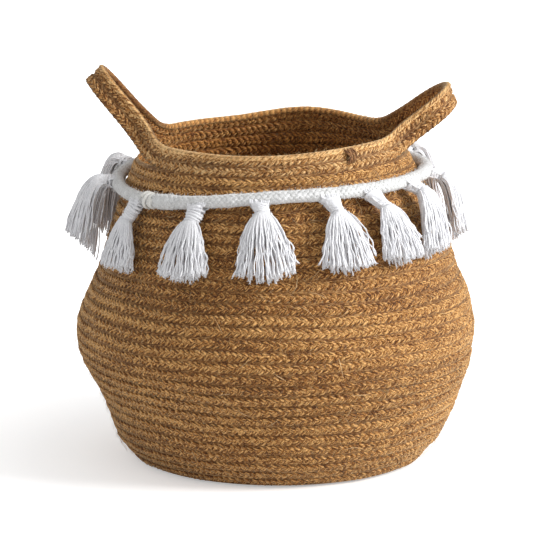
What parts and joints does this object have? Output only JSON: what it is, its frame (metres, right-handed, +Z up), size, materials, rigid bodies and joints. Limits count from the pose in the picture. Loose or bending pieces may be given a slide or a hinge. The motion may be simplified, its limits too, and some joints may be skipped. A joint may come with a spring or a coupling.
{
  "type": "tasselled basket",
  "caption": "Round-bellied sewn jute plait basket with two raised loop handles and a cotton neck cord hung with tassels.",
  "frame": {"origin": "middle of the foot's flat underside, on the surface that the basket stands on", "axes": "+Z up out of the mouth, +X towards the right handle seen from the front, the front faces -Y"},
  "size_m": [0.3378, 0.331, 0.3251],
  "materials": {
    "foot_jute": "dry plaited jute, matt",
    "wall_jute": "dry plaited jute in sewn rows, matt",
    "rim_jute": "dry plaited jute in sewn rows, matt",
    "handle_jute": "dry plaited jute strap, matt",
    "tuck_jute": "darker jute, stitched down",
    "cord_cotton": "white braided cotton, matt",
    "binding_thread": "white wound thread, matt",
    "tassel_cotton": "soft white cotton yarn, matt"
  },
  "bodies": {
    "basket": {"base_coil": "foot_jute", "lower_wall": "wall_jute", "shoulder_wall": "wall_jute", "neck_wall": "wall_jute", "rim_band_front": "rim_jute", "rim_band_back": "rim_jute", "braid_end_tuck": "tuck_jute", "neck_cord": "cord_cotton", "cord_binding": "binding_thread"},
    "left_handle": {"handle_left": "handle_jute"},
    "right_handle": {"handle_right": "handle_jute"},
    "tassel_01": {"tassel_01_head": "tassel_cotton", "tassel_01_skirt": "tassel_cotton"},
    "tassel_02": {"tassel_02_head": "tassel_cotton", "tassel_02_skirt": "tassel_cotton"},
    "tassel_03": {"tassel_03_head": "tassel_cotton", "tassel_03_skirt": "tassel_cotton"},
    "tassel_04": {"tassel_04_head": "tassel_cotton", "tassel_04_skirt": "tassel_cotton"},
    "tassel_05": {"tassel_05_head": "tassel_cotton", "tassel_05_skirt": "tassel_cotton"},
    "tassel_06": {"tassel_06_head": "tassel_cotton", "tassel_06_skirt": "tassel_cotton"},
    "tassel_07": {"tassel_07_head": "tassel_cotton", "tassel_07_skirt": "tassel_cotton"},
    "tassel_08": {"tassel_08_head": "tassel_cotton", "tassel_08_skirt": "tassel_cotton"},
    "tassel_09": {"tassel_09_head": "tassel_cotton", "tassel_09_skirt": "tassel_cotton"},
    "tassel_10": {"tassel_10_head": "tassel_cotton", "tassel_10_skirt": "tassel_cotton"},
    "tassel_11": {"tassel_11_head": "tassel_cotton", "tassel_11_skirt": "tassel_cotton"},
    "tassel_12": {"tassel_12_head": "tassel_cotton", "tassel_12_skirt": "tassel_cotton"},
    "tassel_13": {"tassel_13_head": "tassel_cotton", "tassel_13_skirt": "tassel_cotton"},
    "tassel_14": {"tassel_14_head": "tassel_cotton", "tassel_14_skirt": "tassel_cotton"}
  },
  "joints": [
    {"name": "handle_left_fold", "type": "hinge", "parent": "basket", "child": "left_handle", "pos_m": [-0.10509, 0, 0.26417], "axis": [0, 1, 0], "range_deg": [-45, 60]},
    {"name": "handle_right_fold", "type": "hinge", "parent": "basket", "child": "right_handle", "pos_m": [0.1012, 0, 0.27143], "axis": [0, -1, 0], "range_deg": [-32, 70]},
    {"name": "tassel_01_swing", "type": "hinge", "parent": "basket", "child": "tassel_01", "pos_m": [-0.12058, 0.04914, 0.23319], "axis": [0.3907, 0.9204, 0.0117], "range_deg": [0, 80]},
    {"name": "tassel_02_swing", "type": "hinge", "parent": "basket", "child": "tassel_02", "pos_m": [-0.13079, -0.0133, 0.23042], "axis": [-0.0775, 0.9945, 0.0707], "range_deg": [0, 80]},
    {"name": "tassel_03_swing", "type": "hinge", "parent": "basket", "child": "tassel_03", "pos_m": [-0.11206, -0.07013, 0.22726], "axis": [-0.5345, 0.845, 0.0152], "range_deg": [0, 80]},
    {"name": "tassel_04_swing", "type": "hinge", "parent": "basket", "child": "tassel_04", "pos_m": [-0.06637, -0.11188, 0.23026], "axis": [-0.8846, 0.4564, -0.0961], "range_deg": [0, 80]},
    {"name": "tassel_05_swing", "type": "hinge", "parent": "basket", "child": "tassel_05", "pos_m": [-0.01356, -0.12584, 0.23559], "axis": [-0.9957, 0.0468, -0.0796], "range_deg": [0, 80]},
    {"name": "tassel_06_swing", "type": "hinge", "parent": "basket", "child": "tassel_06", "pos_m": [0.04231, -0.11661, 0.23808], "axis": [-0.9268, -0.3745, -0.0278], "range_deg": [0, 80]},
    {"name": "tassel_07_swing", "type": "hinge", "parent": "basket", "child": "tassel_07", "pos_m": [0.07604, -0.09635, 0.23909], "axis": [-0.7658, -0.6426, -0.023], "range_deg": [0, 80]},
    {"name": "tassel_08_swing", "type": "hinge", "parent": "basket", "child": "tassel_08", "pos_m": [0.10411, -0.06288, 0.23994], "axis": [-0.4999, -0.8659, -0.015], "range_deg": [0, 80]},
    {"name": "tassel_09_swing", "type": "hinge", "parent": "basket", "child": "tassel_09", "pos_m": [0.12048, -0.01096, 0.24043], "axis": [-0.0872, -0.9962, -0.0026], "range_deg": [0, 80]},
    {"name": "tassel_10_swing", "type": "hinge", "parent": "basket", "child": "tassel_10", "pos_m": [0.103, 0.06478, 0.2399], "axis": [0.515, -0.8571, 0.0154], "range_deg": [0, 80]},
    {"name": "tassel_11_swing", "type": "hinge", "parent": "basket", "child": "tassel_11", "pos_m": [0.07604, 0.09635, 0.23909], "axis": [0.7658, -0.6426, 0.023], "range_deg": [0, 80]},
    {"name": "tassel_12_swing", "type": "hinge", "parent": "basket", "child": "tassel_12", "pos_m": [0.02562, 0.12203, 0.23758], "axis": [0.9699, -0.2418, 0.0291], "range_deg": [0, 80]},
    {"name": "tassel_13_swing", "type": "hinge", "parent": "basket", "child": "tassel_13", "pos_m": [-0.02881, 0.12346, 0.23595], "axis": [0.9812, 0.1907, 0.0294], "range_deg": [0, 80]},
    {"name": "tassel_14_swing", "type": "hinge", "parent": "basket", "child": "tassel_14", "pos_m": [-0.0805, 0.10045, 0.2344], "axis": [0.7984, 0.6016, 0.024], "range_deg": [0, 80]}
  ]
}
